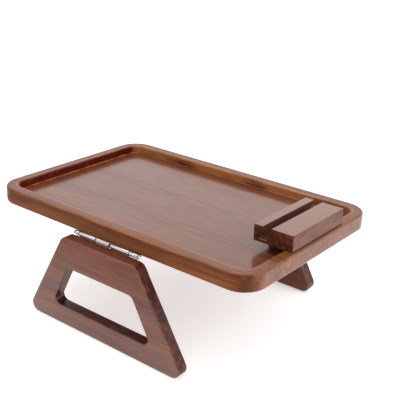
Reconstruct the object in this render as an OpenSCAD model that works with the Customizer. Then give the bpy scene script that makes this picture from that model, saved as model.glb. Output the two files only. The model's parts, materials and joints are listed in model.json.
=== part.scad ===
// Wooden tray table that clips over a sofa arm or stands on its own two hinged legs.
// X runs along the tray, -Y is the near long side, +Z is up.
// The origin is on the surface the feet stand on, under the middle of the tray.

/* [Tray] */
// Length of the tray
tray_l = 400; // [360:1:440]
// Width of the tray
tray_w = 260; // [230:1:300]
// Thickness of the tray at its rim
tray_t = 21.8; // [18:0.1:26]
// Radius of the tray's corners seen from above
tray_corner_r = 30; // [20:1:45]
// Rounding of the tray's upper outer edge
tray_edge_r = 2.5; // [1:0.5:4]
// Rounding of the tray's lower outer edge
tray_under_r = 4; // [3.5:0.5:5]
// Width of the rim around the recess
rim_w = 15; // [12:0.5:20]
// Depth of the recess below the rim
recess_depth = 10.8; // [8:0.1:12]
// Radius of the recess's corners seen from above
recess_corner_r = 15; // [10:1:25]
// Glued seams between the tray's planks, from the centre line
plank_seams = [-48, 24, 80]; // [-100:1:100]

/* [Legs] */
// Height from the feet to the rim
table_h = 147; // [140:1:200]
// Lean of the legs towards each other, in degrees
lean = 1.5; // [0:0.1:4]
// Thickness of a leg board
leg_t = 16; // [12:0.5:18]
// Width of a leg along its top edge, before its corners are rounded
leg_top_w = 119; // [117:1:150]
// Width of a leg along its foot, before its corners are rounded
leg_foot_w = 260; // [220:1:300]
// Radius of a leg's outer corners
leg_corner_r = 10.5; // [6:0.5:12]
// Height of the hand hole's lower edge above the foot
hole_low_z = 26; // [18:1:34]
// Height of the hand hole's upper edge above the foot
hole_top_z = 81.5; // [80:0.5:86]
// Width of the hand hole along its lower edge
hole_low_w = 162.5; // [120:0.5:180]
// Width of the hand hole along its upper edge
hole_top_w = 104.5; // [80:0.5:112]
// Radius of the hand hole's corners
hole_corner_r = 7; // [4:0.5:10]
// Glued seams between a leg's staves, from the foot
leg_seams = [40, 77]; // [36:1:79]

/* [Hinges] */
// Length of a hinge along its knuckles
hinge_l = 100; // [98:1:102]
// Middle of the hinges along the tray
hinge_x = 0; // [-5:1:5]
// Outer diameter of a knuckle
knuckle_d = 5.2; // [5:0.1:5.4]
// Diameter of the hinge pin
pin_d = 3; // [2.4:0.1:3.2]
// Thickness of a hinge leaf
leaf_t = 1; // [0.8:0.1:1]
// Width of a leaf from the pin's axis
leaf_w = 26; // [22:1:30]
// Distance of the pin's axis outside the tray's edge
pin_out = 1.9; // [1.9:0.1:2.4]
// Outer diameter of the torsion spring
spring_d = 6.2; // [5.8:0.1:6.2]
// Wire diameter of the torsion spring
wire_d = 1.2; // [1:0.1:1.2]
// Number of turns of the torsion spring
spring_turns = 19; // [16:1:19]

/* [Screws] */
// Shank diameter of the hinge screws
screw_d = 3; // [2.5:0.1:3.5]
// Head diameter of the screws
screw_head_d = 5.8; // [5:0.1:6.4]
// Length of the screws through the tray leaf
tray_screw_l = 9; // [7:0.5:9.5]
// Length of the screws through the leg leaf
leg_screw_l = 12; // [9:0.5:13]
// Length of the screws through the holder's key
key_screw_l = 22; // [18:0.5:26]

/* [Tablet holder] */
// Width of the holder across the rim
holder_w = 52; // [48:1:56]
// Length of the holder along the rim
holder_l = 108; // [90:1:130]
// Height of the holder above the rim
holder_h = 20; // [18:1:30]
// Gap from the holder's outer face to the tray's end
holder_inset = 3.2; // [2:0.1:5]
// Middle of the holder along the rim
holder_y = 7; // [-10:1:10]
// Width of the holder's top behind its slot
back_w = 29; // [26:1:32]
// Width of the slot for a tablet
slot_w = 11; // [9:0.5:12]
// Depth of the slot
slot_depth = 16; // [12:0.5:16]
// Lean of the slot away from the upright, in degrees
slot_lean = 18; // [10:1:20]
// Length of the key under the holder
key_l = 66; // [50:1:80]
// Width of the key under the holder
key_w = 34; // [30:1:36]

/* [Hidden] */
$fn = 96;

// Lengths that clear a neighbour or run past a face that is cut
cut = 5;
hole_gap = 0.1;
pin_gap = 0.05;
face_gap = 0.1;
leaf_gap = 0.1;
leaf_clear = 3.6;
end_gap = 0.4;
key_gap = 0.4;

// Heights and sides of the tray
tray_z = table_h - tray_t;
floor_z = table_h - recess_depth;
tray_side_y = tray_w / 2;
plank_edges = concat([-tray_side_y - cut], plank_seams, [tray_side_y + cut]);

// The pins lie at the tray's lower edges, and the leg boards hang outside them.
// Each wooden face under a leaf keeps face_gap from the pin's axis, so a leg folds flat.
pin_y = -tray_side_y - pin_out;
pin_z = tray_z - face_gap;
leg_in_y = pin_y - face_gap;
leg_out_y = leg_in_y - leg_t;
foot_z = pin_z - (pin_z - (leg_t + face_gap) * sin(lean)) / cos(lean);
leg_top_z = pin_z - leaf_clear;

// The hinge: two end knuckles on the tray, and on the leg two knuckles with the spring between them
knuckle_r = knuckle_d / 2;
pin_r = pin_d / 2;
spring_l = spring_turns * wire_d;
spring_x = -5;
spring_end_gap = 1.4;
left_knuckle_l = 6;
right_knuckle_l = 13;
tray_knuckles = [
    [-hinge_l / 2, -hinge_l / 2 + left_knuckle_l],
    [hinge_l / 2 - right_knuckle_l, hinge_l / 2]
];
leg_knuckles = [
    [tray_knuckles[0][1] + end_gap, spring_x - spring_l / 2 - end_gap],
    [spring_x + spring_l / 2 + spring_end_gap, tray_knuckles[1][0] - end_gap]
];
pin_head_l = 3;
pin_head_r = 2.4;
pin_head_ease = 1;
screw_xs = [-42, -15, 15, 42];
screw_row = 16;

// The holder and the key below it
key_screw_in = 9;
key_screw_apart = 40;
holder_out_x = tray_l / 2 - holder_inset;
holder_in_x = holder_out_x - holder_w;
holder_low_y = holder_y - holder_l / 2;
slot_back_x = holder_out_x - back_w;
slot_run = slot_depth * tan(slot_lean);
key_out_x = tray_l / 2 - rim_w - key_gap;
key_screw_x = key_out_x - key_screw_in;
key_screw_ys = [holder_y - key_screw_apart / 2, holder_y + key_screw_apart / 2];

// Colours
wood = "#8b5a48";
wood_deep = "#7a4a3a";
steel = "#c8c4bc";
spring_steel = "#b5b0a8";

function unit(v) = v / norm(v);

// Waste that turns the sharp corner p, between the points a and b, into an arc.
// It runs square across the sides at the arc's ends and past them, so no thin sliver is left.
module corner_waste(a, p, b, r) {
    u = unit(a - p);
    v = unit(b - p);
    half = acos(u * v) / 2;
    centre = p + unit(u + v) * r / sin(half);
    run = r / tan(half);
    past_u = p + u * run + unit(p + u * run - centre) * cut;
    past_v = p + v * run + unit(p + v * run - centre) * cut;
    difference() {
        polygon([past_u, centre, past_v, p - unit(u + v) * cut]);
        translate(centre) circle(r);
    }
}

// Straight-sided outline with an arc at every corner
module rounded_outline(points, r) {
    n = len(points);
    difference() {
        polygon(points);
        for (i = [0:n - 1])
            corner_waste(points[(i + n - 1) % n], points[i], points[(i + 1) % n], r);
    }
}

// Four-sided outline, symmetric about X = 0
function trapezium(low_w, top_w, low_z, top_z) =
    [[-low_w / 2, low_z], [low_w / 2, low_z], [top_w / 2, top_z], [-top_w / 2, top_z]];

// Half section of a plate whose outer edge is rounded below and above
module edge_section(reach, height, low_r, high_r) {
    translate([0, low_r]) square([reach, height - low_r - high_r]);
    square([reach - low_r, height / 2]);
    translate([0, height / 2]) square([reach - high_r, height / 2]);
    translate([reach - low_r, low_r]) circle(low_r);
    translate([reach - high_r, height - high_r]) circle(high_r);
}

// Plate with round corners and rounded outer edges
module soft_plate(l, w, corner_r, height, low_r, high_r) {
    for (x = [-1, 1], y = [-1, 1])
        translate([x * (l / 2 - corner_r), y * (w / 2 - corner_r), 0])
            rotate_extrude() edge_section(corner_r, height, low_r, high_r);
    for (turn = [0, 180])
        rotate([0, 0, turn]) {
            translate([-(l / 2 - corner_r), 0, 0]) rotate([90, 0, 90])
                linear_extrude(l - 2 * corner_r) edge_section(w / 2, height, low_r, high_r);
            translate([0, w / 2 - corner_r, 0]) rotate([90, 0, 0])
                linear_extrude(w - 2 * corner_r) edge_section(l / 2, height, low_r, high_r);
        }
}

// Plain block with round corners seen from above
module round_block(l, w, r, height) {
    linear_extrude(height)
        rounded_outline([[-l / 2, -w / 2], [l / 2, -w / 2], [l / 2, w / 2], [-l / 2, w / 2]], r);
}

// Countersunk screw, its head's face at Z = 0 and its point down
module screw(length) {
    head_h = (screw_head_d - screw_d) / 2;
    tip_h = screw_d / 2;
    translate([0, 0, -head_h]) cylinder(d1 = screw_d, d2 = screw_head_d, h = head_h);
    translate([0, 0, tip_h - length]) cylinder(d = screw_d, h = length - tip_h);
    translate([0, 0, -length]) cylinder(d1 = tip_h / 2, d2 = screw_d, h = tip_h);
}

// Room for a screw, a little wider and deeper than the screw itself
module screw_hole(length) {
    head_h = (screw_head_d - screw_d) / 2;
    translate([0, 0, -head_h])
        cylinder(d1 = screw_d + 2 * hole_gap, d2 = screw_head_d + 2 * hole_gap, h = head_h + hole_gap);
    translate([0, 0, -length - hole_gap]) cylinder(d = screw_d + 2 * hole_gap, h = length);
}

// Places of the screws, each turned so that its head faces out of its leaf
module at_tray_screws() {
    for (x = screw_xs)
        translate([hinge_x + x, pin_y + screw_row, tray_z]) rotate([180, 0, 0]) children();
}
module at_leg_screws() {
    for (x = screw_xs)
        translate([hinge_x + x, leg_in_y, pin_z - screw_row]) rotate([-90, 0, 0]) children();
}
module at_key_screws() {
    for (y = key_screw_ys)
        translate([key_screw_x, y, floor_z + key_gap]) rotate([180, 0, 0]) children();
}

// The far side is the near side mirrored across the tray's long axis
module on_side(side) {
    if (side == "far") mirror([0, 1, 0]) children();
    else children();
}

// What moves with a leg is drawn upright and turned about the pin into its lean
module on_leg(side) {
    on_side(side)
        translate([0, pin_y, pin_z]) rotate([lean, 0, 0]) translate([0, -pin_y, -pin_z]) children();
}

// Whole tray, before it is divided into its planks
module tray_blank() {
    recess_l = tray_l - 2 * rim_w;
    recess_w = tray_w - 2 * rim_w;
    difference() {
        translate([0, 0, tray_z])
            soft_plate(tray_l, tray_w, tray_corner_r, tray_t, tray_under_r, tray_edge_r);
        translate([0, 0, floor_z]) round_block(recess_l, recess_w, recess_corner_r, recess_depth + cut);
    }
}

// Shallow pocket that lets a leaf lie flush in the tray's underside, open to the tray's edge
module tray_pocket() {
    translate([hinge_x - hinge_l / 2 - leaf_gap, pin_y - cut, tray_z - cut])
        cube([hinge_l + 2 * leaf_gap, cut + leaf_w + leaf_gap, cut + leaf_t + leaf_gap]);
}

// The same pocket in a leg's inner face, open to the leg's top
module leg_pocket() {
    translate([hinge_x - hinge_l / 2 - leaf_gap, leg_in_y - leaf_t - leaf_gap, pin_z - leaf_w - leaf_gap])
        cube([hinge_l + 2 * leaf_gap, leaf_t + leaf_gap + cut, leaf_w + leaf_gap]);
}

module tray_plank(index) {
    low_y = plank_edges[index];
    plank_w = plank_edges[index + 1] - low_y;
    color(index % 2 == 0 ? wood : wood_deep)
        difference() {
            intersection() {
                tray_blank();
                translate([-tray_l, low_y, 0]) cube([2 * tray_l, plank_w, 2 * table_h]);
            }
            for (side = ["near", "far"])
                on_side(side) {
                    tray_pocket();
                    at_tray_screws() screw_hole(tray_screw_l);
                }
        }
}

// Upright leg board cut to its outline, between two heights above its foot
module leg_board(low_h, top_h) {
    top_edge_h = leg_top_z - foot_z;
    difference() {
        intersection() {
            translate([0, leg_in_y, foot_z]) rotate([90, 0, 0]) linear_extrude(leg_t)
                difference() {
                    rounded_outline(trapezium(leg_foot_w, leg_top_w, 0, top_edge_h), leg_corner_r);
                    rounded_outline(
                        trapezium(hole_low_w, hole_top_w, hole_low_z, hole_top_z), hole_corner_r);
                }
            translate([-leg_foot_w, leg_out_y - cut, foot_z + low_h])
                cube([2 * leg_foot_w, leg_t + 2 * cut, top_h - low_h]);
        }
        leg_pocket();
        at_leg_screws() screw_hole(leg_screw_l);
    }
}

module leg_top_stave(side) {
    color(wood) on_leg(side) leg_board(leg_seams[1], table_h);
}

module leg_bottom_stave(side) {
    color(wood) on_leg(side) leg_board(-cut, leg_seams[0]);
}

// The middle stave is cut through by the hand hole, which leaves a left and a right piece
module leg_side_stave(side, direction) {
    color(wood_deep) on_leg(side)
        intersection() {
            leg_board(leg_seams[0], leg_seams[1]);
            translate([direction < 0 ? -leg_foot_w : 0, leg_out_y - cut, 0])
                cube([leg_foot_w, leg_t + 2 * cut, table_h]);
        }
}

// Rod around the pin's axis, between the two places that a span gives
module knuckle(span) {
    translate([hinge_x + span[0], pin_y, pin_z]) rotate([0, 90, 0])
        cylinder(r = knuckle_r, h = span[1] - span[0]);
}

module pin_bore() {
    translate([hinge_x - hinge_l, pin_y, pin_z]) rotate([0, 90, 0])
        cylinder(r = pin_r + pin_gap, h = 2 * hinge_l);
}

module hinge_tray_leaf(side) {
    color(steel) on_side(side)
        difference() {
            union() {
                translate([hinge_x - hinge_l / 2, pin_y + leaf_clear, tray_z])
                    cube([hinge_l, leaf_w - leaf_clear, leaf_t]);
                for (span = tray_knuckles) {
                    knuckle(span);
                    translate([hinge_x + span[0], pin_y, tray_z])
                        cube([span[1] - span[0], leaf_clear, leaf_t]);
                }
            }
            pin_bore();
            at_tray_screws() screw_hole(tray_screw_l);
        }
}

module hinge_leg_leaf(side) {
    color(steel) on_leg(side)
        difference() {
            union() {
                translate([hinge_x - hinge_l / 2, leg_in_y - leaf_t, pin_z - leaf_w])
                    cube([hinge_l, leaf_t, leaf_w - leaf_clear]);
                for (span = leg_knuckles) {
                    knuckle(span);
                    translate([hinge_x + span[0], leg_in_y - leaf_t, pin_z - leaf_clear])
                        cube([span[1] - span[0], leaf_t, leaf_clear]);
                }
            }
            pin_bore();
            at_leg_screws() screw_hole(leg_screw_l);
        }
}

// Pin with a head pressed on each end
module hinge_pin(side) {
    straight_l = pin_head_l - pin_head_ease;
    color(steel) on_side(side)
        translate([hinge_x, pin_y, pin_z]) rotate([0, 90, 0]) {
            cylinder(r = pin_r, h = hinge_l + 2 * end_gap, center = true);
            for (turn = [0, 180])
                rotate([turn, 0, 0]) translate([0, 0, hinge_l / 2 + end_gap]) {
                    cylinder(r = pin_head_r, h = straight_l);
                    translate([0, 0, straight_l])
                        cylinder(r1 = pin_head_r, r2 = pin_head_r - pin_head_ease, h = pin_head_ease);
                }
        }
}

// Torsion spring, its close turns drawn as rings that a core holds together
module hinge_spring(side) {
    wire_r = wire_d / 2;
    color(spring_steel) on_side(side)
        translate([hinge_x + spring_x, pin_y, pin_z]) rotate([0, 90, 0]) rotate_extrude()
            for (turn = [0:spring_turns - 1])
                translate([spring_d / 2 - wire_r, (turn + 0.5) * wire_d - spring_l / 2]) {
                    circle(wire_r);
                    translate([-wire_r / 2, -wire_r]) square([wire_r, wire_d]);
                }
}

module tray_screw_set(side) {
    color(steel) on_side(side) at_tray_screws() screw(tray_screw_l);
}

module leg_screw_set(side) {
    color(steel) on_leg(side) at_leg_screws() screw(leg_screw_l);
}

module key_screw_set() {
    color(steel) at_key_screws() screw(key_screw_l);
}

// Holder block with its leaning slot
module holder_block() {
    top_z = table_h + holder_h;
    past = 1 + cut / slot_depth;
    color(wood)
        difference() {
            translate([holder_in_x, holder_low_y, table_h]) cube([holder_w, holder_l, holder_h]);
            translate([slot_back_x, holder_low_y - cut, top_z]) rotate([-90, 0, 0])
                linear_extrude(holder_l + 2 * cut)
                    polygon([
                        [-slot_run, slot_depth], [-slot_run - slot_w, slot_depth],
                        [-slot_w + slot_run * (past - 1), -cut], [slot_run * (past - 1), -cut]
                    ]);
            at_key_screws() screw_hole(key_screw_l);
        }
}

// Key that keeps the holder against the rim's inner wall
module holder_key() {
    color(wood_deep)
        difference() {
            translate([key_out_x - key_w, holder_y - key_l / 2, floor_z])
                cube([key_w, key_l, recess_depth]);
            at_key_screws() {
                screw_hole(key_screw_l);
                cylinder(d = screw_head_d + 2 * hole_gap, h = cut);
            }
        }
}

tray_plank(0);  // tray_plank_near
tray_plank(1);  // tray_plank_mid_near
tray_plank(2);  // tray_plank_mid_far
tray_plank(3);  // tray_plank_far
leg_top_stave("near");  // near_leg_top_stave
leg_side_stave("near", -1);  // near_leg_left_stave
leg_side_stave("near", 1);  // near_leg_right_stave
leg_bottom_stave("near");  // near_leg_bottom_stave
hinge_tray_leaf("near");  // near_hinge_tray_leaf
hinge_leg_leaf("near");  // near_hinge_leg_leaf
hinge_pin("near");  // near_hinge_pin
hinge_spring("near");  // near_hinge_spring
tray_screw_set("near");  // near_hinge_tray_screws
leg_screw_set("near");  // near_hinge_leg_screws
leg_top_stave("far");  // far_leg_top_stave
leg_side_stave("far", -1);  // far_leg_left_stave
leg_side_stave("far", 1);  // far_leg_right_stave
leg_bottom_stave("far");  // far_leg_bottom_stave
hinge_tray_leaf("far");  // far_hinge_tray_leaf
hinge_leg_leaf("far");  // far_hinge_leg_leaf
hinge_pin("far");  // far_hinge_pin
hinge_spring("far");  // far_hinge_spring
tray_screw_set("far");  // far_hinge_tray_screws
leg_screw_set("far");  // far_hinge_leg_screws
holder_block();
holder_key();
key_screw_set();  // holder_key_screws
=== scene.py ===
import json
import math
import random

import bmesh
import bpy
from mathutils import Matrix, Quaternion, Vector


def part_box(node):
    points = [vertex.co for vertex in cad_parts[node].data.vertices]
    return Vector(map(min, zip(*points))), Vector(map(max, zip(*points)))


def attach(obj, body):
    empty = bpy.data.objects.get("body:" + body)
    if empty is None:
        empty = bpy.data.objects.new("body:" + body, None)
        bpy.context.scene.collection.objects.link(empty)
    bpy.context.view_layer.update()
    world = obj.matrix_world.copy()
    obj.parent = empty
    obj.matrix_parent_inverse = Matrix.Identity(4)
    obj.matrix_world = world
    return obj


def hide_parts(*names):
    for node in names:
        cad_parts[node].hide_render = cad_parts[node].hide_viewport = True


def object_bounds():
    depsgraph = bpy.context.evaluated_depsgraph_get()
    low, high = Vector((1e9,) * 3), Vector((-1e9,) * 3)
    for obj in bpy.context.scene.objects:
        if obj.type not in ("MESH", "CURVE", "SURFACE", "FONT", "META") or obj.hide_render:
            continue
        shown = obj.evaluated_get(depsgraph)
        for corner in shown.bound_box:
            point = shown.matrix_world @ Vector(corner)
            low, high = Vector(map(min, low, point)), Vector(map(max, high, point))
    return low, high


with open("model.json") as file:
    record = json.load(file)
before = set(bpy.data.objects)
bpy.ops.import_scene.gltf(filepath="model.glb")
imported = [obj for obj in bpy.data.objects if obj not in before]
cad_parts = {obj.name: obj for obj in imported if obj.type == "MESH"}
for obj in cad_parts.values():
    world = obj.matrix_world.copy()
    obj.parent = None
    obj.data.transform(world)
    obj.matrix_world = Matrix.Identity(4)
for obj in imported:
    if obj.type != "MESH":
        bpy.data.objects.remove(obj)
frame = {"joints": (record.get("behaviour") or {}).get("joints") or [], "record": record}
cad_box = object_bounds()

MM = 0.001
SIDES = {"near": -1, "far": 1}
STAVES = ("top", "left", "right", "bottom")
PLANKS = ("near", "mid_near", "mid_far", "far")
TRAY_NODES = ["tray_plank_" + name for name in PLANKS]


# ---------------------------------------------------------------- frame

def joined_box(names):
    """Lowest and highest corner of several CAD nodes together."""
    boxes = [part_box(name) for name in names]
    low = Vector(min(b[0][k] for b in boxes) for k in range(3))
    high = Vector(max(b[1][k] for b in boxes) for k in range(3))
    return low, high


def hinge_axis(side):
    """A point on the axis of that side's hinge."""
    joint = next(j for j in frame["joints"] if j["name"] == side + "_leg_fold")
    return Vector(joint["pos_m"])


def leg_lean():
    """Angle between a resting leg and its upright stop."""
    joint = next(j for j in frame["record"]["behaviour"]["joints"] if j["name"] == "near_leg_fold")
    return math.radians(-joint["range_deg"][0])


# ---------------------------------------------------------------- meshes

def arc_outline(corners, radius, offset=0.0, steps=8):
    """(point, outward direction) pairs round a convex outline with arcs for corners.

    The outline is moved outwards by offset. Its corners go counter-clockwise, and every call with
    the same steps gives as many pairs."""
    pairs = []
    count = len(corners)
    for i, here in enumerate(corners):
        here = Vector(here)
        to_before = (Vector(corners[i - 1]) - here).normalized()
        to_after = (Vector(corners[(i + 1) % count]) - here).normalized()
        half = to_before.angle(to_after) / 2
        centre = here + (to_before + to_after).normalized() * radius / math.sin(half)
        start = math.atan2(to_before.x, -to_before.y)
        end = math.atan2(-to_after.x, to_after.y)
        sweep = (end - start) % (2 * math.pi)
        for k in range(steps + 1):
            angle = start + sweep * k / steps
            direction = Vector((math.cos(angle), math.sin(angle)))
            pairs.append((centre + (radius + offset) * direction, direction))
    return pairs


def rectangle(low, high):
    """Corners of a rectangle in the XY plane, counter-clockwise."""
    return [(low[0], low[1]), (high[0], low[1]), (high[0], high[1]), (low[0], high[1])]


def quarter(steps=6):
    """(sine, cosine) along a quarter circle."""
    return [(math.sin(a), math.cos(a)) for a in (math.pi / 2 * k / steps for k in range(steps + 1))]


# What the materials read from the meshes. Wear (also painted light and highlights), stain (also painted
# shade on some faces) and the painted shade layer change the wood's colour, dull thins its lacquer, and
# painted shade in the hinge's gaps darkens steel.
FINISH_LAYERS = ("wear_and_light", "stain_and_shade", "dull", "shade")
PAINTED_GAP_SHADE = "painted_gap_shade"
SEAM_WEAR = 2.0
ON_PLANE = 0.01 * MM


def loft(rings, closed=False):
    """bmesh through rings of as many points each.

    A ring is a list of (point, finish values) pairs, with the values in the order of FINISH_LAYERS."""
    bm = bmesh.new()
    layers = [bm.verts.layers.float.new(name) for name in FINISH_LAYERS]
    rows = []
    for ring in rings:
        row = []
        for point, values in ring:
            v = bm.verts.new(point)
            for layer, value in zip(layers, values):
                v[layer] = value
            row.append(v)
        rows.append(row)
    pairs = list(zip(rows, rows[1:]))
    if closed:
        pairs.append((rows[-1], rows[0]))
    count = len(rows[0])
    for a, b in pairs:
        for i in range(count):
            k = (i + 1) % count
            bm.faces.new((a[i], a[k], b[k], b[i]))
    if not closed:
        bm.faces.new(rows[0])
        bm.faces.new(rows[-1])
    bmesh.ops.recalc_face_normals(bm, faces=bm.faces)
    return bm


def slice_between(bm, axis, low, high, ease):
    """The part of a solid between two planes across an axis, closed and with an eased edge at each.

    A plane given as None doesn't cut. The stain is thinner along the new edges."""
    part = bm.copy()
    normal = Vector(1.0 if k == axis else 0.0 for k in range(3))
    for level, direction in ((low, -normal), (high, normal)):
        if level is None:
            continue
        everything = part.verts[:] + part.edges[:] + part.faces[:]
        cut = bmesh.ops.bisect_plane(
            part, geom=everything, dist=ON_PLANE, plane_co=normal * level, plane_no=direction,
            clear_outer=True)
        border = [e for e in cut["geom_cut"] if isinstance(e, bmesh.types.BMEdge)]
        filled = bmesh.ops.holes_fill(part, edges=border)["faces"]
        rim = list({e for f in filled for e in f.edges})
        bmesh.ops.bevel(part, geom=rim, offset=ease, segments=1, affect="EDGES", profile=0.5)
        wear_and_light, stain_and_shade = (part.verts.layers.float[name] for name in ("wear_and_light", "stain_and_shade"))
        for v in part.verts:
            if abs(v.co[axis] - level) < ease / 10:
                v[wear_and_light] = SEAM_WEAR * (1 - min(1, v[stain_and_shade]))
    bmesh.ops.recalc_face_normals(part, faces=part.faces)
    return part


def lean_in(bm):
    """Turns an upright near leg's piece about the pin into its lean."""
    turn = Matrix.Rotation(leg_lean(), 3, "X")
    bmesh.ops.rotate(bm, verts=bm.verts, cent=hinge_axis("near"), matrix=turn)
    return bm


def make_object(name, bm, smooth_angle=35.0, mirrored=False):
    """Object from a bmesh, smooth where its faces meet gently.

    A mirrored one goes to the other side of Y = 0."""
    if mirrored:
        for v in bm.verts:
            v.co.y = -v.co.y
        bmesh.ops.reverse_faces(bm, faces=bm.faces)
    mesh = bpy.data.meshes.new(name)
    bm.to_mesh(mesh)
    bm.free()
    mesh.polygons.foreach_set("use_smooth", [True] * len(mesh.polygons))
    mesh.set_sharp_from_angle(angle=math.radians(smooth_angle))
    obj = bpy.data.objects.new(name, mesh)
    bpy.context.scene.collection.objects.link(obj)
    return obj


def soften(obj, width, segments=2):
    """Rounds an object's sharp edges."""
    bevel = obj.modifiers.new("edges", "BEVEL")
    bevel.width = width
    bevel.segments = segments
    bevel.limit_method = "ANGLE"
    bevel.angle_limit = math.radians(40)
    bevel.harden_normals = True


def even_shading(obj):
    """Keeps large flat faces flat next to rounded edges."""
    normals = obj.modifiers.new("shading", "WEIGHTED_NORMAL")
    normals.keep_sharp = True


def install(obj, body, material, replaced=()):
    """Gives a piece its body and its material, and hides the CAD nodes it stands for."""
    obj.data.materials.append(material)
    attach(obj, body)
    if replaced:
        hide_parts(*replaced)
    return obj


def prism(outline, axis_low, axis_high, place):
    """Solid with a plain outline, pushed from one level to another.

    place turns (u, v, level) into a point."""
    bm = bmesh.new()
    rows = [[bm.verts.new(place(u, v, level)) for u, v in outline] for level in (axis_low, axis_high)]
    count = len(outline)
    bm.faces.new(rows[0])
    bm.faces.new(rows[1])
    for i in range(count):
        k = (i + 1) % count
        bm.faces.new((rows[0][i], rows[0][k], rows[1][k], rows[1][i]))
    bmesh.ops.recalc_face_normals(bm, faces=bm.faces)
    return bm


def finish_faces(bm, rule):
    """Gives each face its stain and dull values. rule turns the face's normal into the two."""
    layers = [bm.faces.layers.float.new(name) for name in FINISH_LAYERS[1:]]
    bm.normal_update()
    for face in bm.faces:
        for layer, value in zip(layers, rule(face.normal)):
            face[layer] = value
    return bm


def lathe(profile, segments, place):
    """Solid of revolution. profile holds (along, radius) pairs, its ends on the axis."""
    bm = bmesh.new()
    rows = []
    for along, radius in profile:
        if radius == 0:
            rows.append([bm.verts.new(place(along, 0, 0))])
            continue
        turn = [2 * math.pi * k / segments for k in range(segments)]
        rows.append([bm.verts.new(place(along, radius * math.cos(a), radius * math.sin(a))) for a in turn])
    for a, b in zip(rows, rows[1:]):
        for i in range(segments):
            k = (i + 1) % segments
            corners = [a[i % len(a)], a[k % len(a)], b[k % len(b)], b[i % len(b)]]
            bm.faces.new(list(dict.fromkeys(corners)))
    bmesh.ops.recalc_face_normals(bm, faces=bm.faces)
    return bm


def merge(parts):
    """One bmesh out of several."""
    whole = bmesh.new()
    for part in parts:
        mesh = bpy.data.meshes.new("part")
        part.to_mesh(mesh)
        part.free()
        whole.from_mesh(mesh)
        bpy.data.meshes.remove(mesh)
    return whole


# ---------------------------------------------------------------- materials

class Graph:
    """A material's node tree, with short calls that add one node and return its output."""

    def __init__(self, name):
        self.material = bpy.data.materials.new(name)
        self.material.use_nodes = True
        self.tree = self.material.node_tree
        self.tree.nodes.clear()

    def add(self, kind, inputs, output=0, **settings):
        node = self.tree.nodes.new(kind)
        for key, value in settings.items():
            setattr(node, key, value)
        for key, value in inputs.items():
            if isinstance(value, bpy.types.NodeSocket):
                self.tree.links.new(value, node.inputs[key])
            else:
                node.inputs[key].default_value = value
        return node.outputs[output] if node.outputs else None

    def math(self, operation, a, b=0.0, clamp=False):
        return self.add("ShaderNodeMath", {0: a, 1: b}, operation=operation, use_clamp=clamp)

    def scale_vector(self, vector, factors):
        return self.add("ShaderNodeVectorMath", {0: vector, 1: factors}, operation="MULTIPLY")

    def add_vector(self, a, b):
        return self.add("ShaderNodeVectorMath", {0: a, 1: b}, operation="ADD")

    def noise(self, vector, factors, detail=2.0, roughness=0.5, output=0):
        """Noise whose grain is stretched: factors are its frequency along X, Y and Z."""
        stretched = self.scale_vector(vector, factors)
        return self.add("ShaderNodeTexNoise", {
            "Vector": stretched, "Scale": 1.0, "Detail": detail, "Roughness": roughness}, output=output)

    def remap(self, value, low, high, to_low=0.0, to_high=1.0):
        return self.add("ShaderNodeMapRange", {
            0: value, 1: low, 2: high, 3: to_low, 4: to_high}, interpolation_type="SMOOTHSTEP")

    def mix(self, factor, a, b, blend="MIX"):
        return self.add(
            "ShaderNodeMix", {0: factor, 6: a, 7: b}, output=2, data_type="RGBA", blend_type=blend)

    def attribute(self, name):
        return self.add("ShaderNodeAttribute", {}, output=2, attribute_name=name)

    def place_in_mm(self):
        """Point on the piece, in the object's own axes."""
        return self.scale_vector(self.add("ShaderNodeTexCoord", {}, output=3), (1 / MM,) * 3)

    def ramp(self, factor, stops):
        """Value that follows (place, value) stops."""
        node = self.tree.nodes.new("ShaderNodeValToRGB")
        elements = node.color_ramp.elements
        while len(elements) < len(stops):
            elements.new(0.5)
        for element, (place, value) in zip(elements, stops):
            element.position = place
            element.color = (value, value, value, 1)
        self.tree.links.new(factor, node.inputs[0])
        return node.outputs[0]

    def bump(self, height, distance, strength):
        return self.add("ShaderNodeBump", {"Height": height, "Distance": distance, "Strength": strength})

    def finish(self, **inputs):
        """The surface shader, with spaces in its socket names given as underscores."""
        shader = self.add("ShaderNodeBsdfPrincipled", {k.replace("_", " "): v for k, v in inputs.items()})
        self.add("ShaderNodeOutputMaterial", {"Surface": shader})
        return self.material


def colour(red, green, blue):
    return (red, green, blue, 1.0)


# Light, middle, dark, pore, blush and worn colour of the stained wood, the worn colour also painting light
# and highlights, and what end grain and faces darkened with painted shade multiply them by
TRAY_WOOD = ((0.230, 0.075, 0.022), (0.134, 0.037, 0.010), (0.066, 0.014, 0.004), (0.036, 0.008, 0.003),
             (0.160, 0.034, 0.008), (0.390, 0.146, 0.045), (0.60, 0.16, 0.08))
LEG_WOOD = ((0.190, 0.058, 0.024), (0.120, 0.030, 0.013), (0.054, 0.012, 0.006), (0.034, 0.007, 0.004),
            (0.155, 0.030, 0.010), (0.270, 0.125, 0.085), (0.37, 0.20, 0.18))
HOLDER_WOOD = ((0.215, 0.082, 0.040), (0.152, 0.051, 0.024), (0.086, 0.024, 0.010), (0.044, 0.010, 0.005),
               (0.160, 0.036, 0.012), (0.300, 0.130, 0.070), (0.34, 0.18, 0.15))
# colour that the painted shade on the tray's corners multiplies the wood by
PAINTED_SHADE = colour(0.50, 0.60, 0.66)

# How much each layer of the figure adds, from broad bands down to fine lines, and what the rings take off
BROAD, STREAKS, FIBRES, FINE, RINGS = 0.9, 0.7, 0.55, 0.22, 0.08
RINGS_MEAN = 0.035
TOP_CALM = 0.45
# how strongly blush, pores and the worn colour show; the worn colour is real wear and painted light
BLUSH, PORES, WORN_AND_LIT = 0.55, 0.25, 0.55
COAT_IOR = 1.5
GLOSSY_COAT_IOR = 1.6


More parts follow.
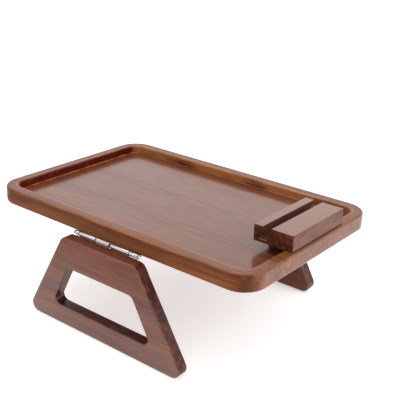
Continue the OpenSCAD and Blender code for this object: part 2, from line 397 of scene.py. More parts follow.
def wood_material(
        name, palette, seed, grain="x", tone=0.0, ring_width=9.0, contrast=1.0, coat_ior=COAT_IOR):
    """Dark stained, lacquered wood whose rings, fibres and pores fill the whole piece.

    So end grain shows at its ends. The pattern is in millimetres, along the piece's own grain.
    tone makes a piece lighter or darker."""
    pick = random.Random(seed)
    # the worn colour also paints light and highlights, and the stained colour also paints shade
    light, mid, dark, pore, blush, worn_and_lit_wood, stained = (colour(*c) for c in palette)
    g = Graph(name)
    place = g.place_in_mm()
    if grain == "y":
        place = g.add("ShaderNodeMapping", {"Vector": place, "Rotation": (0, 0, math.pi / 2)})
    place = g.add_vector(place, (pick.uniform(-900, 900), 0, 0))

    # rings round a pith that lies below the piece, a little out of line with it
    pith_y = pick.uniform(-70, 70)
    pith_z = pick.uniform(-110, -60) * pick.choice((1, -1))
    wander = g.noise(place, (0.0035, 0.012, 0.012), detail=3.0, output=1)
    wander = g.scale_vector(g.add_vector(wander, (-0.5,) * 3), (0, 30, 30))
    bent = g.add_vector(place, wander)
    centred = g.add_vector(bent, (0, -pith_y, -pith_z))
    across = g.scale_vector(centred, (0, 1, 1))
    radius = g.add("ShaderNodeVectorMath", {0: across}, output=1, operation="LENGTH")
    phase = g.math("FRACT", g.math("DIVIDE", radius, ring_width))
    rings = g.ramp(phase, [(0.0, 0.0), (0.45, 0.25), (0.80, 0.8), (0.93, 1.0), (1.0, 0.0)])

    # fibres and pores follow the grain
    broad = g.noise(bent, (0.005, 0.045, 0.045), detail=3.0)
    streaks = g.noise(bent, (0.009, 0.17, 0.17), detail=3.0)
    fibres = g.noise(bent, (0.011, 0.45, 0.45), detail=4.0, roughness=0.6)
    fine = g.noise(bent, (0.035, 2.6, 2.6), detail=2.0, roughness=0.6)
    pores = g.remap(g.noise(bent, (0.12, 3.4, 3.4), detail=1.0), 0.62, 0.74)

    # how light the figure is, about a middle value
    level = g.math("MULTIPLY", broad, BROAD * contrast)
    for layer, weight in ((streaks, STREAKS), (fibres, FIBRES), (fine, FINE), (rings, -RINGS)):
        level = g.math("ADD", level, g.math("MULTIPLY", layer, weight * contrast))
    middle = (0.5 * (BROAD + STREAKS + FIBRES + FINE) - RINGS_MEAN) * contrast

    # the figure is calmer on the flat tops, where the boards are flat sawn
    up = g.add("ShaderNodeSeparateXYZ", {0: g.add("ShaderNodeTexCoord", {}, output=1)}, output=2)
    calm = g.math("SUBTRACT", 1.0, g.math("MULTIPLY", g.math("ABSOLUTE", up), TOP_CALM))
    level = g.math("ADD", middle, g.math("MULTIPLY", g.math("SUBTRACT", level, middle), calm))
    middle -= tone

    # colour
    body = g.mix(g.remap(level, middle - 0.05, middle + 0.55), mid, light)
    body = g.mix(g.remap(level, middle - 0.50, middle + 0.05, 1.0, 0.0), body, dark)
    flush = g.remap(g.noise(place, (0.006, 0.035, 0.035), detail=3.0), 0.50, 0.70)
    body = g.mix(g.math("MULTIPLY", flush, BLUSH), body, blush)
    body = g.mix(g.math("MULTIPLY", pores, PORES), body, pore)

    # end grain took more stain, the same layer paints shade on the recess's wall away from the holder, on
    # the legs' edges and on the holder's faces, and the stain is thinner where edges were sanded
    stain_and_shade = g.attribute("stain_and_shade")
    blotch = g.remap(g.noise(place, (0.05, 0.16, 0.16), detail=3.0), 0.34, 0.64, 0.35, 1.35)
    stain_and_shade = g.math("MULTIPLY", stain_and_shade, blotch, clamp=True)
    body = g.mix(stain_and_shade, body, g.mix(1.0, body, stained, blend="MULTIPLY"))
    # painted shade darkens the tray's corners
    body = g.mix(g.attribute("shade"), body, g.mix(1.0, body, PAINTED_SHADE, blend="MULTIPLY"))
    # the worn colour paints real wear on sanded edges and seams, painted light on the recess's walls, and
    # painted highlights along edges and at a cove
    patchy = g.remap(g.noise(place, (0.012, 0.05, 0.05), detail=2.0), 0.30, 0.62)
    worn_and_lit = g.math("MULTIPLY", g.attribute("wear_and_light"), patchy)
    body = g.mix(g.math("MULTIPLY", worn_and_lit, WORN_AND_LIT), body, worn_and_lit_wood)

    # lacquer: open pores below, a slightly uneven film above that is thinner on dull faces
    relief = g.math("SUBTRACT", g.math("MULTIPLY", fibres, 0.5), pores)
    grain_normal = g.bump(relief, 0.00006, strength=0.5)
    film = g.noise(place, (0.03, 0.09, 0.09), detail=2.0)
    film = g.math("ADD", film, g.math("MULTIPLY", fibres, 0.15))
    film_normal = g.bump(film, 0.0004, strength=0.14)
    rough = g.remap(g.noise(place, (0.012, 0.05, 0.05), detail=3.0), 0.3, 0.7, 0.40, 0.52)
    patchy_film = g.remap(g.noise(place, (0.010, 0.07, 0.07), detail=3.0), 0.3, 0.7, 0.90, 1.0)
    coat = g.math("MULTIPLY", g.math("SUBTRACT", 1.0, g.attribute("dull")), patchy_film)
    return g.finish(
        Base_Color=body, Roughness=rough, Normal=grain_normal, Specular_IOR_Level=0.08,
        Coat_Weight=coat, Coat_Roughness=0.18, Coat_IOR=coat_ior, Coat_Normal=film_normal)


def steel_material(name, base, rough_low, rough_high, lines=(0.03, 2.2, 2.2)):
    """Plated steel with drawing lines, uneven gloss, dull specks, and painted shade in the hinge's gaps."""
    g = Graph(name)
    place = g.place_in_mm()
    drawn = g.noise(place, lines, detail=4.0, roughness=0.6)
    blotch = g.noise(place, (0.10, 0.25, 0.25), detail=3.0)
    specks = g.remap(g.noise(place, (1.3, 1.3, 1.3), detail=2.0), 0.66, 0.76)
    tint = g.mix(g.remap(blotch, 0.35, 0.7), colour(*(0.82 * c for c in base)), colour(*base))
    tint = g.mix(g.math("MULTIPLY", specks, 0.45), tint, colour(0.24, 0.21, 0.17))
    # painted shade where the hinge's parts meet and inside the knuckles
    tint = g.mix(g.attribute(PAINTED_GAP_SHADE), tint, colour(0.035, 0.028, 0.022))
    rough = g.math("ADD", g.remap(drawn, 0.3, 0.7, rough_low, rough_high), g.math("MULTIPLY", specks, 0.2))
    normal = g.bump(drawn, 0.00002, strength=0.35)
    return g.finish(Base_Color=tint, Metallic=1.0, Roughness=rough, Normal=normal)


# ---------------------------------------------------------------- tray

TRAY_CORNER_R = 30 * MM
TRAY_TOP_R = 2.5 * MM
TRAY_UNDER_R = 4 * MM
RIM_W = 15 * MM
RECESS_DEPTH = 10.8 * MM
RECESS_CORNER_R = 15 * MM
RIM_INNER_R = 2.4 * MM
FLOOR_COVE_R = 1.2 * MM
SEAM_EASE = 0.22 * MM
FLAT_MARGIN = 1.6 * MM

PLANK_TONES = (0.02, -0.03, 0.03, 0.0)
PLANK_CONTRASTS = (1.8, 1.0, 0.9, 1.3)

# How much stain a face took, and how dull its lacquer is; the stain on the recess's wall away from the
# holder is painted shadow
UNDER = (0.3, 0.6)
LOW_SIDE = (0.0, 0.97)
TOP_SIDE = (0.30, 0.98)
TRAY_END = (0.0, 0.35)
RIM_TOP = (0.0, 0.52)
RIM_LINE = (0.0, 0.05)
LONG_WALL = (0.0, 0.8)
# painted shadow darkens the recess's wall away from the holder
END_WALL_PAINTED_SHADOW = (1.8, 1.0)
RECESS_FLOOR = (0.3, 0.0)

# How worn edges are, how much painted highlight the edges and the cove get, how much painted light lightens
# the recess's walls, and how much darker (painted shade) and duller the tray's corners are
WALL_PAINTED_LIGHT = 2.6
EDGE_WEAR_AND_HIGHLIGHT = 1.2
SIDE_WEAR = 0.35
# painted highlight at the foot of the recess's wall away from the holder
COVE_HIGHLIGHT = 2.0
END_WEAR_LESS = 0.6
# painted shade that darkens the tray's rounded corners
CORNER_PAINTED_SHADE = 0.85
CORNER_DULL = 0.2


def tray_solid(low, high):
    """The whole tray: rounded outer edges, a rim, and a routed recess with painted shadow on its wall away
    from the holder and painted light on its other walls.
    """
    outer = rectangle(low, high)
    inner = rectangle((low.x + RIM_W, low.y + RIM_W), (high.x - RIM_W, high.y - RIM_W))
    floor_z = high.z - RECESS_DEPTH
    rings = []

    def ring(corners, radius, offset, z, wear_and_light, sides, ends, corner=0.0, end_highlight=0.0):
        """Adds a ring. sides and ends are the (stain, dull) of the tray's long sides and its ends; the
        stain on the recess's wall away from the holder is painted shadow.

        The recess's wall at the holder's end is like its long ones, and the other end takes end_highlight,
        a painted highlight at the foot of its wall. wear_and_light also paints light on the recess's walls.
        corner darkens the tray's corners with painted shade, and makes them duller and less worn."""
        row = []
        for p, d in arc_outline(corners, radius, offset, steps=14):
            share = d.x * d.x if corners is outer or d.x < 0 else 0
            stain_and_shade, dull = (a + (b - a) * share for a, b in zip(sides, ends))
            turn = corner * (2 * d.x * d.y) ** 2
            less = END_WEAR_LESS if corners is outer else 1
            worn_and_lit = wear_and_light * (1 - less * share) + end_highlight * share
            # the last value is painted shade on the tray's corners
            values = (worn_and_lit * (1 - turn), stain_and_shade, dull + CORNER_DULL * turn, CORNER_PAINTED_SHADE * turn)
            row.append(((p.x, p.y, z), values))
        rings.append(row)

    def blend(a, b, share):
        return [x + (y - x) * share for x, y in zip(a, b)]

    r = TRAY_UNDER_R
    ring(outer, TRAY_CORNER_R, -r - FLAT_MARGIN, low.z, 0, UNDER, UNDER)
    for s, c in quarter(8):
        sides, ends = blend(UNDER, LOW_SIDE, s), blend(UNDER, TRAY_END, s)
        z = low.z + r * (1 - c)
        ring(outer, TRAY_CORNER_R, -r * (1 - s), z, SIDE_WEAR * s, sides, ends, corner=s)
    r = TRAY_TOP_R
    for s, c in quarter():
        sides, ends = blend(TOP_SIDE, RIM_TOP, s), blend(TRAY_END, RIM_TOP, s)
        z = high.z - r * (1 - s)
        # wear and a painted highlight along the tray's top outer edge
        ring(outer, TRAY_CORNER_R, -r * (1 - c), z, EDGE_WEAR_AND_HIGHLIGHT * 2 * s * c, sides, ends, corner=c)
    ring(outer, TRAY_CORNER_R, -r - FLAT_MARGIN, high.z, 0, RIM_TOP, RIM_TOP)
    r = RIM_INNER_R
    ring(inner, RECESS_CORNER_R, r + FLAT_MARGIN, high.z, 0, RIM_TOP, RIM_TOP)
    for s, c in quarter():
        sides, ends = blend(RIM_LINE, LONG_WALL, s * s), blend(RIM_LINE, END_WALL_PAINTED_SHADOW, s * s)
        # painted light down the recess's walls
        ring(inner, RECESS_CORNER_R, r * (1 - s), high.z - r * (1 - c), WALL_PAINTED_LIGHT * s, sides, ends)
    r = FLOOR_COVE_R
    for s, c in quarter(4):
        sides, ends = blend(LONG_WALL, RECESS_FLOOR, s), blend(END_WALL_PAINTED_SHADOW, RECESS_FLOOR, s)
        # painted highlight at the foot of the wall away from the holder, and painted light on the walls
        ring(inner, RECESS_CORNER_R, -r * (1 - c), floor_z + r * (1 - s), WALL_PAINTED_LIGHT * (1 - s), sides, ends,
             end_highlight=COVE_HIGHLIGHT * 2 * s * c)
    ring(inner, RECESS_CORNER_R, -r - FLAT_MARGIN, floor_z, 0, RECESS_FLOOR, RECESS_FLOOR)
    return loft(rings)


def build_tray():
    solid = tray_solid(*joined_box(TRAY_NODES))
    for index, (name, node) in enumerate(zip(PLANKS, TRAY_NODES)):
        plank_low, plank_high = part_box(node)
        below = plank_low.y if index > 0 else None
        above = plank_high.y if index < len(PLANKS) - 1 else None
        plank = make_object(node + "_wood", slice_between(solid, 1, below, above, SEAM_EASE))
        even_shading(plank)
        material = wood_material(
            "tray_wood_" + name, TRAY_WOOD, seed=11 + index, tone=PLANK_TONES[index],
            ring_width=8.0 + index, contrast=PLANK_CONTRASTS[index])
        install(plank, "tray", material, [node])
    solid.free()


# ---------------------------------------------------------------- legs

LEG_T = 16 * MM
FACE_GAP = 0.1 * MM
LEAF_CLEAR = 3.6 * MM
LEG_TOP_HALF_W = 59.5 * MM
LEG_FOOT_HALF_W = 130 * MM
LEG_CORNER_R = 10.5 * MM
LEG_EDGE_R = 2 * MM
HOLE_LOW_H = 26 * MM
HOLE_TOP_H = 81.5 * MM
HOLE_LOW_HALF_W = 81.25 * MM
HOLE_TOP_HALF_W = 52.25 * MM
HOLE_CORNER_R = 7 * MM
LEG_SEAM_LOW_H = 40 * MM
LEG_SEAM_TOP_H = 77 * MM
# tone of each stave; the bottom stave's lighter tone is painted light, as the leg is lighter near the floor
STAVE_TONES_AND_LIGHT = {"top": 0.0, "left": -0.02, "right": -0.01, "bottom": 0.06}
STAVE_SEEDS = {"top": 31, "left": 38, "right": 38, "bottom": 52}
FAR_SEED_STEP = 3
STAVE_CONTRAST = 1.5
LEG_TOP_DULL = 0.85
LEG_EDGE_DULL = 0.6
LEG_TOP_EDGE_DULL = 0.3
LEG_HOLE_DULL = 0.35
LEG_EDGE_GLOSS = 0.5
# the leg's edge faces take stain and painted shade, the top edge less
LEG_TOP_LESS_STAIN_AND_SHADE = 0.7
LEG_INSIDE_DULL = 0.75
# wear and a painted highlight along the leg's rounded edges
LEG_WEAR_AND_HIGHLIGHT = 0.6


def trapezium(low_half_w, top_half_w, low_z, top_z):
    return [(-low_half_w, low_z), (low_half_w, low_z), (top_half_w, top_z), (-top_half_w, top_z)]


def upright_foot_z():
    """Height of the near leg's foot while the leg is upright, so that the leaning leg reaches the floor."""
    lean, pin_z = leg_lean(), hinge_axis("near").z
    return pin_z - (pin_z - (LEG_T + FACE_GAP) * math.sin(lean)) / math.cos(lean)


def leg_solid():
    """The whole near leg board, upright: a trapezium with a hand hole, every edge rounded."""
    axis, foot_z = hinge_axis("near"), upright_foot_z()
    inner_y = axis.y - FACE_GAP
    outer_y = inner_y - LEG_T
    outline = trapezium(LEG_FOOT_HALF_W, LEG_TOP_HALF_W, foot_z, axis.z - LEAF_CLEAR)
    hole = trapezium(HOLE_LOW_HALF_W, HOLE_TOP_HALF_W, foot_z + HOLE_LOW_H, foot_z + HOLE_TOP_H)
    rings = []

    def ring(corners, radius, offset, y, wear_and_light=0.0, edge=0.0):
        """Adds a ring. edge goes from 0 on the leg's faces to 1 on its edges.

        The lacquer gets duller up the leg's outer face."""
        row = []
        for p, d in arc_outline(corners, radius, offset, steps=12):
            dull = LEG_TOP_DULL * (p.y - foot_z) / (axis.z - foot_z)
            top = max(0, d.y) ** 6
            # stain and painted shade on the edge faces, less on the top
            stain_and_shade = edge * (1 - LEG_TOP_LESS_STAIN_AND_SHADE * top) if corners is outline else edge
            if y > (inner_y + outer_y) / 2:
                dull = LEG_INSIDE_DULL
            edge_dull = LEG_HOLE_DULL
            if corners is outline:
                edge_dull = LEG_EDGE_DULL + LEG_TOP_EDGE_DULL * top
            dull += (edge_dull - dull) * edge * edge
            dull *= 1 - LEG_EDGE_GLOSS * wear_and_light
            # real wear and a painted highlight along the rounded edges
            row.append(((p.x, y, p.y), (LEG_WEAR_AND_HIGHLIGHT * wear_and_light, stain_and_shade, dull)))
        rings.append(row)

    r = LEG_EDGE_R
    ring(outline, LEG_CORNER_R, -r - FLAT_MARGIN, outer_y)
    for s, c in quarter():
        ring(outline, LEG_CORNER_R, -r * (1 - s), outer_y + r * (1 - c), 2 * s * c, s * s)
    for s, c in quarter():
        ring(outline, LEG_CORNER_R, -r * (1 - c), inner_y - r * (1 - s), 2 * s * c, c * c)
    ring(outline, LEG_CORNER_R, -r - FLAT_MARGIN, inner_y)
    ring(hole, HOLE_CORNER_R, r + FLAT_MARGIN, inner_y)
    for s, c in quarter():
        ring(hole, HOLE_CORNER_R, r * (1 - s), inner_y - r * (1 - c), 2 * s * c, s * s)
    for s, c in quarter():
        ring(hole, HOLE_CORNER_R, r * (1 - c), outer_y + r * (1 - s), 2 * s * c, c * c)
    ring(hole, HOLE_CORNER_R, r + FLAT_MARGIN, outer_y)
    return loft(rings, closed=True)


def keep_half(bm, direction):
    """Drops what lies on the other side of X = 0."""
    gone = [v for v in bm.verts if v.co.x * direction < 0]
    bmesh.ops.delete(bm, geom=gone, context="VERTS")
    return bm


def build_leg(side):
    solid = leg_solid()
    low_seam, top_seam = (upright_foot_z() + h for h in (LEG_SEAM_LOW_H, LEG_SEAM_TOP_H))
    spans = {
        "top": (top_seam, None), "left": (low_seam, top_seam), "right": (low_seam, top_seam),
        "bottom": (None, low_seam)}
    for stave in STAVES:
        node = f"{side}_leg_{stave}_stave"
        part = slice_between(solid, 2, *spans[stave], SEAM_EASE)
        if stave in ("left", "right"):
            keep_half(part, -1 if stave == "left" else 1)
        piece = make_object(node + "_wood", lean_in(part), mirrored=side == "far")
        even_shading(piece)
        seed = STAVE_SEEDS[stave] + (FAR_SEED_STEP if side == "far" else 0)
        material = wood_material(
            f"{side}_leg_wood_{stave}", LEG_WOOD, seed=seed, tone=STAVE_TONES_AND_LIGHT[stave],
            contrast=STAVE_CONTRAST, coat_ior=GLOSSY_COAT_IOR)
        install(piece, side + "_leg", material, [node])
    solid.free()


# ---------------------------------------------------------------- hinges

KNUCKLE_R = 2.6 * MM
KNUCKLE_EASE = 0.5 * MM
LEAF_T = 1 * MM
LEAF_CORNER_R = 2 * MM
LEAF_PROUD = 0.05 * MM
SCREW_PROUD = 0.02 * MM
TRAY_KNUCKLES = [(-50 * MM, -44 * MM), (37 * MM, 50 * MM)]
LEG_KNUCKLES = [(-43.6 * MM, -16.8 * MM), (7.8 * MM, 36.6 * MM)]
PIN_SHANK_R = 1.5 * MM
PIN_HEAD_L = 2.6 * MM
WIRE_R = 0.58 * MM
SPRING_TURNS = 19
SPRING_DARK_TURNS = 0.9
SPRING_TUCK = 1.1 * MM
SCREW_HEAD_R = 2.9 * MM
HEAD_CLEAR = 0.12 * MM
LEAF_EASE = 0.18 * MM
SCREW_XS = (-42 * MM, -15 * MM, 15 * MM, 42 * MM)
SCREW_ROW = 16 * MM


def knuckle(centre, from_x, to_x):
    """Rolled tube round the pin with eased ends, darkened inside and at its ends with painted shade where
    it meets its neighbours.
    """
    ease = KNUCKLE_EASE
    bore = KNUCKLE_R - LEAF_T
    side = [
        (0, bore, 1), (0, KNUCKLE_R - ease, 1), (0.4 * ease, KNUCKLE_R - 0.4 * ease, 0.6),
        (ease, KNUCKLE_R, 0)]
    profile = [(from_x + along, r, painted_gap_shade) for along, r, painted_gap_shade in side]
    profile += [(to_x - along, r, painted_gap_shade) for along, r, painted_gap_shade in reversed(side)]
    segments = 40
    bm = bmesh.new()
    layer = bm.verts.layers.float.new(PAINTED_GAP_SHADE)
    rows = []
    for x, r, painted_gap_shade in profile:
        turns = [2 * math.pi * k / segments for k in range(segments)]
        row = [bm.verts.new((x, centre.y + r * math.cos(a), centre.z + r * math.sin(a))) for a in turns]
        for v in row:
            v[layer] = painted_gap_shade
        rows.append(row)
    for a, b in zip(rows, rows[1:] + rows[:1]):
        for i in range(segments):
            k = (i + 1) % segments
            bm.faces.new((a[i], a[k], b[k], b[i]))
    bmesh.ops.recalc_face_normals(bm, faces=bm.faces)
    return bm


def leaf_plate(outline, holes, thickness, place):
    """Plate with round screw holes. outline and holes are in the plate's plane.

    place turns (u, v, depth) into a point."""
    bm = bmesh.new()
    edges = []
    turns = [2 * math.pi * k / 28 for k in range(28)]
    circles = [[(u + r * math.cos(a), v + r * math.sin(a)) for a in turns] for u, v, r in holes]
    for loop in [outline] + circles:
        verts = [bm.verts.new(place(u, v, 0)) for u, v in loop]
        edges += [bm.edges.new((a, b)) for a, b in zip(verts, verts[1:] + verts[:1])]
    bmesh.ops.triangle_fill(bm, edges=edges, use_beauty=True)
    pushed = bmesh.ops.extrude_face_region(bm, geom=bm.faces[:])["geom"]
    shift = Vector(place(0, 0, thickness)) - Vector(place(0, 0, 0))
    bmesh.ops.translate(bm, verts=[v for v in pushed if isinstance(v, bmesh.types.BMVert)], vec=shift)
    bmesh.ops.recalc_face_normals(bm, faces=bm.faces)
    return bm


def leaf_outline(length, start, end, tabs):
    """Leaf seen flat: u along the hinge, v away from the pin. Tabs reach back to its knuckles."""
    half = length / 2
    points = []
    for low, high in tabs:
        points += [(low, start), (low, 0.0), (high, 0.0), (high, start)]
    flush = 0.01 * MM
    if tabs[0][0] < -half + flush:
        points = points[1:]
    else:
        points = [(-half, start)] + points
    if tabs[-1][1] > half - flush:
        points = points[:-1]
    else:
        points.append((half, start))
    r = LEAF_CORNER_R
    arc = quarter()
    points += [(half - r + r * c, end - r + r * s) for s, c in arc]
    points += [(-half + r - r * s, end - r + r * c) for s, c in arc]
    return points


def build_hinge(side, steel, spring, screw_steel):
    axis = hinge_axis("near")
    mirrored = side == "far"
    leaf_low, leaf_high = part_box("near_hinge_tray_leaf")
    length = leaf_high.x - leaf_low.x
    reach = leaf_high.y - axis.y
    hole_r = SCREW_HEAD_R + HEAD_CLEAR
    holes = [(x, SCREW_ROW, hole_r) for x in SCREW_XS]
    under_z = joined_box(TRAY_NODES)[0].z
    inner_y = axis.y - FACE_GAP
    thickness = LEAF_T + LEAF_PROUD

    # leaf in the tray's underside, with the two end knuckles
    outline = leaf_outline(length, LEAF_CLEAR, reach, TRAY_KNUCKLES)
    plate = leaf_plate(
        outline, holes, thickness, lambda u, v, d: (axis.x + u, axis.y + v, under_z - LEAF_PROUD + d))
    ends = [knuckle(axis, axis.x + a, axis.x + b) for a, b in TRAY_KNUCKLES]
    tray_leaf = make_object(side + "_tray_leaf_steel", merge([plate] + ends), mirrored=mirrored)
    soften(tray_leaf, LEAF_EASE)
    install(tray_leaf, "tray", steel, [side + "_hinge_tray_leaf"])

    # leaf in the leg's inner face, with the two knuckles beside the spring
    outline = leaf_outline(length, LEAF_CLEAR, reach, LEG_KNUCKLES)
    plate = leaf_plate(
        outline, holes, thickness, lambda u, v, d: (axis.x + u, inner_y + LEAF_PROUD - d, axis.z - v))
    mids = [knuckle(axis, axis.x + a, axis.x + b) for a, b in LEG_KNUCKLES]
    leg_leaf = make_object(side + "_leg_leaf_steel", lean_in(merge([plate] + mids)), mirrored=mirrored)
    soften(leg_leaf, LEAF_EASE)
    install(leg_leaf, side + "_leg", steel, [side + "_hinge_leg_leaf"])

    build_pin(side, axis, mirrored, steel)
    build_spring(side, axis, mirrored, spring)

    # screws through both leaves
    low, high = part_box("near_hinge_tray_screws")
    heads = [Vector((axis.x + x, axis.y + SCREW_ROW, under_z - SCREW_PROUD)) for x in SCREW_XS]
    screws = screw_set(heads, Vector((0, 0, -1)), high.z - low.z, side + "_tray")
    node = side + "_hinge_tray_screws"
    piece = make_object(node + "_steel", screws, mirrored=mirrored)
    install(piece, "tray", screw_steel, [node])
    low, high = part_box("near_hinge_leg_screws")
    heads = [Vector((axis.x + x, inner_y + SCREW_PROUD, axis.z - SCREW_ROW)) for x in SCREW_XS]
    screws = lean_in(screw_set(heads, Vector((0, 1, 0)), high.y - low.y, side + "_leg"))
    node = side + "_hinge_leg_screws"
    piece = make_object(node + "_steel", screws, mirrored=mirrored)
    install(piece, side + "_leg", screw_steel, [node])


def screw_set(heads, outwards, length, seed):
    """Several screws in one bmesh, each turned by its own amount."""
    pick = random.Random(seed)
    return merge([screw(head, outwards, length, pick.uniform(0, math.pi)) for head in heads])


def build_pin(side, axis, mirrored, steel):
    low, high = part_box("near_hinge_pin")
    head_r = (high.z - low.z) / 2
    shank_r = PIN_SHANK_R
    head = PIN_HEAD_L
    dome = [(1 - c, s) for s, c in quarter(5)]
    profile = [(low.x + head * 0.45 * along, head_r * radius) for along, radius in dome]
    profile += [(low.x + head, head_r), (low.x + head + 0.1 * MM, shank_r)]
    profile += [(low.x + high.x - along, radius) for along, radius in reversed(profile)]
    bm = lathe(profile, 32, lambda x, u, v: (x, axis.y + u, axis.z + v))
    layer = bm.verts.layers.float.new(PAINTED_GAP_SHADE)
    for v in bm.verts:
        # painted shade on the shank, seen only in the gaps between knuckles
        v[layer] = 1 if low.x + head < v.co.x < high.x - head else 0
    pin = make_object(side + "_pin_steel", bm, mirrored=mirrored)
    install(pin, "tray", steel, [side + "_hinge_pin"])


def build_spring(side, axis, mirrored, spring):
    """Close coils of round wire, wound as one helix whose ends tuck down to the pin."""
    low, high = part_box("near_hinge_spring")
    coil_r = (high.z - low.z) / 2 - WIRE_R
    per_turn, sides = 28, 10
    pitch = (high.x - low.x - 2 * WIRE_R) / SPRING_TURNS
    steps = SPRING_TURNS * per_turn
    bm = bmesh.new()
    layer = bm.verts.layers.float.new(PAINTED_GAP_SHADE)
    rows = []
    for k in range(steps + 1):
        angle = 2 * math.pi * k / per_turn
        x = low.x + WIRE_R + pitch * k / per_turn
        tuck = min(1.0, k / (per_turn / 4), (steps - k) / (per_turn / 4))
        r = coil_r - (1 - tuck) * SPRING_TUCK
        out = Vector((0, math.cos(angle), math.sin(angle)))
        centre = Vector((x, axis.y, axis.z)) + out * r
        row = []
        for j in range(sides):
            a = 2 * math.pi * j / sides
            v = bm.verts.new(centre + WIRE_R * (math.cos(a) * out + math.sin(a) * Vector((1, 0, 0))))
            # painted shade on the end turns, in the gaps beside the spring
            v[layer] = max(0, 1 - min(k, steps - k) / (SPRING_DARK_TURNS * per_turn))
            row.append(v)
        rows.append(row)
    for a, b in zip(rows, rows[1:]):
        for j in range(sides):
            i = (j + 1) % sides
            bm.faces.new((a[j], a[i], b[i], b[j]))
    bm.faces.new(rows[0])
    bm.faces.new(rows[-1])
    bmesh.ops.recalc_face_normals(bm, faces=bm.faces)
    coil = make_object(side + "_spring_wire", bm, smooth_angle=60, mirrored=mirrored)
    install(coil, "tray", spring, [side + "_hinge_spring"])


def screw(head_at, outwards, length, turn):
    """Countersunk cross-head screw.

    head_at is the middle of its head's face, and outwards points away from the wood."""
    u = outwards.orthogonal().normalized()
    v = outwards.cross(u)
    u, v = math.cos(turn) * u + math.sin(turn) * v, math.cos(turn) * v - math.sin(turn) * u

    def place(a, b, depth):
        return head_at + a * u + b * v - depth * outwards

    bm = bmesh.new()
    segments = 32
    arm, half_w = 1.55 * MM, 0.38 * MM
    cross = []
    for k in range(4):
        c, s = ((1, 0), (0, 1), (-1, 0), (0, -1))[k]
        for a, b in ((half_w, -half_w), (arm, -half_w), (arm, half_w)):
            cross.append((a * c - b * s, a * s + b * c))
    turns = [2 * math.pi * k / segments for k in range(segments)]
    levels = [(SCREW_HEAD_R - 0.15 * MM, 0), (SCREW_HEAD_R, 0.12 * MM), (1.45 * MM, 1.4 * MM),
              (1.4 * MM, length - 1.6 * MM), (0.2 * MM, length)]
    rows = [[bm.verts.new(place(r * math.cos(a), r * math.sin(a), d)) for a in turns] for r, d in levels]
    for a, b in zip(rows, rows[1:]):
        for i in range(segments):
            k = (i + 1) % segments
            bm.faces.new((a[i], a[k], b[k], b[i]))
    bm.faces.new(rows[-1])
    mouth = [bm.verts.new(place(a, b, 0)) for a, b in cross]
    floor = [bm.verts.new(place(0.62 * a, 0.62 * b, 0.9 * MM)) for a, b in cross]
    count = len(cross)
    for i in range(count):
        k = (i + 1) % count
        bm.faces.new((mouth[i], mouth[k], floor[k], floor[i]))
    bm.faces.new(floor)
    rim = [bm.edges.get((a, b)) for a, b in zip(rows[0], rows[0][1:] + rows[0][:1])]
    rim += [bm.edges.get((a, b)) for a, b in zip(mouth, mouth[1:] + mouth[:1])]
    bmesh.ops.triangle_fill(bm, edges=rim, use_beauty=True)
    bmesh.ops.recalc_face_normals(bm, faces=bm.faces)
    return bm


# ---------------------------------------------------------------- tablet holder

SLOT_W = 11 * MM
SLOT_DEPTH = 16 * MM
SLOT_LEAN = math.radians(18)
HOLDER_BACK_W = 29 * MM


def block_finish(normal):
    """(stain, dull) of a face of the block: end grain is darkest, its stain partly painted shade, the other
    faces but the top carry painted shade, and the top is glossiest.
    """
    if abs(normal.y) > 0.5:
        return 0.72, 0.7
    if normal.z > 0.5:
        return 0.0, 0.0
    return 0.45, 0.72


def build_holder(screw_steel):
    low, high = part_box("holder_block")
    back = high.x - HOLDER_BACK_W
    run = SLOT_DEPTH * math.tan(SLOT_LEAN)
    floor_z = high.z - SLOT_DEPTH
    outline = [
        (low.x, low.z), (high.x, low.z), (high.x, high.z), (back, high.z),
        (back - run, floor_z), (back - run - SLOT_W, floor_z), (back - SLOT_W, high.z), (low.x, high.z)]
    solid = finish_faces(prism(outline, low.y, high.y, lambda u, v, y: (u, y, v)), block_finish)
    block = make_object("holder_block_wood", solid)
    soften(block, 0.7 * MM, segments=3)
    material = wood_material(
        "holder_wood_block", HOLDER_WOOD, seed=61, grain="y", ring_width=5.0, contrast=0.95,
        coat_ior=GLOSSY_COAT_IOR)
    install(block, "holder", material, ["holder_block"])

    low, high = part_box("holder_key")
    corners = rectangle(low, high)
    outline = [(p.x, p.y) for p, direction in arc_outline(corners, 3 * MM, 0, steps=5)]
    key = make_object("holder_key_wood", prism(outline, low.z, high.z, lambda u, v, z: (u, v, z)))
    soften(key, 0.6 * MM)
    material = wood_material("holder_wood_key", HOLDER_WOOD, seed=67, grain="y", tone=-0.02, ring_width=5.0)
    install(key, "holder", material, ["holder_key"])

    screws_low, screws_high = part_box("holder_key_screws")
    x = (screws_low.x + screws_high.x) / 2
    head_r = (screws_high.x - screws_low.x) / 2
    ys = (screws_low.y + head_r, screws_high.y - head_r)
    length = screws_high.z - screws_low.z
    parts = [screw(Vector((x, y, screws_low.z)), Vector((0, 0, -1)), length, 0.4 + y * 9) for y in ys]
    piece = make_object("holder_key_screws_steel", merge(parts))
    install(piece, "holder", screw_steel, ["holder_key_screws"])


# ---------------------------------------------------------------- stage, lights, camera

FLOOR_REACH = 60.0
FLOOR_GLOW = 0.4
CAMERA_AZIMUTH = 37.93
CAMERA_ELEVATION = 21.64
CAMERA_ROLL = 2.03
CAMERA_DISTANCE = 0.994
CAMERA_LENS = 70.5
CAMERA_AIM = Vector((0.0213, 0.0146, -0.0040))
FRONT_LIGHT = 0.7
BACK_LIGHT = 1.27
LIGHT_FADE = (-0.8, 0.6)
KEY_PLACE = Vector((1.5, 0.2, 0.9))
KEY_SIZE = 1.2
KEY_POWER = 13
TOP_PLACE = Vector((-0.3, 0.0, 1.8))
TOP_SIZE = 1.6
TOP_POWER = 14.5


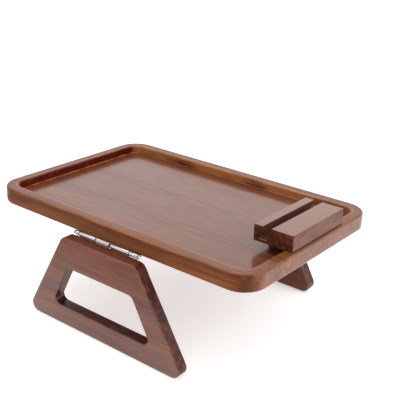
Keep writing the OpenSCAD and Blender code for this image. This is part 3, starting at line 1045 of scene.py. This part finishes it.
def build_stage():
    """Plain pale floor, which the camera can look through from below."""
    g = Graph("studio_floor")
    place = g.add("ShaderNodeTexCoord", {}, output=3)
    mottle = g.noise(place, (3.0, 3.0, 3.0), detail=3.0)
    tint = g.mix(g.remap(mottle, 0.3, 0.7), colour(0.87, 0.87, 0.87), colour(0.90, 0.90, 0.90))
    shader = g.add("ShaderNodeBsdfPrincipled", {
        "Base Color": tint, "Roughness": 0.6, "Specular IOR Level": 0.3,
        "Emission Color": colour(1, 1, 1), "Emission Strength": FLOOR_GLOW})
    clear = g.add("ShaderNodeBsdfTransparent", {})
    back = g.add("ShaderNodeNewGeometry", {}, output=6)
    surface = g.add("ShaderNodeMixShader", {0: back, 1: shader, 2: clear})
    g.add("ShaderNodeOutputMaterial", {"Surface": surface})
    bm = bmesh.new()
    turns = [2 * math.pi * k / 96 for k in range(96)]
    bm.faces.new([bm.verts.new((FLOOR_REACH * math.cos(a), FLOOR_REACH * math.sin(a), 0)) for a in turns])
    floor = make_object("studio_floor", bm)
    floor.data.materials.append(g.material)


def area_light(name, place, aim, size, power):
    """Square panel that faces its aim."""
    data = bpy.data.lights.new(name, "AREA")
    data.size = size
    data.energy = power
    light = bpy.data.objects.new(name, data)
    light.location = place
    light.rotation_mode = "QUATERNION"
    light.rotation_quaternion = (Vector(aim) - Vector(place)).to_track_quat("-Z", "Y")
    bpy.context.scene.collection.objects.link(light)


def build_lights():
    """Studio that is bright behind the object and overhead, and dimmer towards the photographer."""
    world = bpy.data.worlds.new("studio")
    bpy.context.scene.world = world
    world.use_nodes = True
    tree = world.node_tree
    background = tree.nodes["Background"]
    background.inputs["Color"].default_value = (1, 1, 1, 1)
    place = tree.nodes.new("ShaderNodeTexCoord")
    along = tree.nodes.new("ShaderNodeVectorMath")
    along.operation = "DOT_PRODUCT"
    azimuth = math.radians(CAMERA_AZIMUTH)
    along.inputs[1].default_value = (-math.sin(azimuth), math.cos(azimuth), 0)
    fade = tree.nodes.new("ShaderNodeMapRange")
    fade.interpolation_type = "SMOOTHSTEP"
    for key, value in zip(range(1, 5), (*LIGHT_FADE, FRONT_LIGHT, BACK_LIGHT)):
        fade.inputs[key].default_value = value
    tree.links.new(place.outputs["Generated"], along.inputs[0])
    tree.links.new(along.outputs["Value"], fade.inputs[0])
    tree.links.new(fade.outputs[0], background.inputs["Strength"])
    middle = (cad_box[0] + cad_box[1]) / 2
    area_light("key", middle + KEY_PLACE, middle, KEY_SIZE, KEY_POWER)
    area_light("top", middle + TOP_PLACE, middle, TOP_SIZE, TOP_POWER)


def build_camera():
    """Camera at the object's usual viewing angle. Its aim is given from the middle of the tray's rim."""
    aim = Vector((0, 0, joined_box(TRAY_NODES)[1].z)) + CAMERA_AIM
    azimuth, elevation = math.radians(CAMERA_AZIMUTH), math.radians(CAMERA_ELEVATION)
    level_reach = math.cos(elevation)
    back = Vector((
        math.sin(azimuth) * level_reach, -math.cos(azimuth) * level_reach, math.sin(elevation)))
    data = bpy.data.cameras.new("camera")
    data.lens = CAMERA_LENS
    camera = bpy.data.objects.new("camera", data)
    bpy.context.scene.collection.objects.link(camera)
    camera.location = aim + CAMERA_DISTANCE * back
    level = (-back).to_track_quat("-Z", "Y")
    camera.rotation_mode = "QUATERNION"
    camera.rotation_quaternion = level @ Quaternion((0, 0, 1), math.radians(CAMERA_ROLL))
    bpy.context.scene.camera = camera


# ---------------------------------------------------------------- all of it

def build_all():
    steel = steel_material("nickel_steel", (0.72, 0.69, 0.64), 0.31, 0.43)
    spring = steel_material("spring_wire_steel", (0.74, 0.70, 0.61), 0.32, 0.46, lines=(1.2, 1.2, 1.2))
    screw_steel = steel_material("screw_steel", (0.70, 0.69, 0.66), 0.24, 0.40, lines=(0.8, 0.8, 0.8))
    build_tray()
    for side in SIDES:
        build_leg(side)
        build_hinge(side, steel, spring, screw_steel)
    build_holder(screw_steel)
    build_stage()
    build_lights()
    build_camera()
    bpy.context.scene.view_settings.view_transform = "Standard"


build_all()
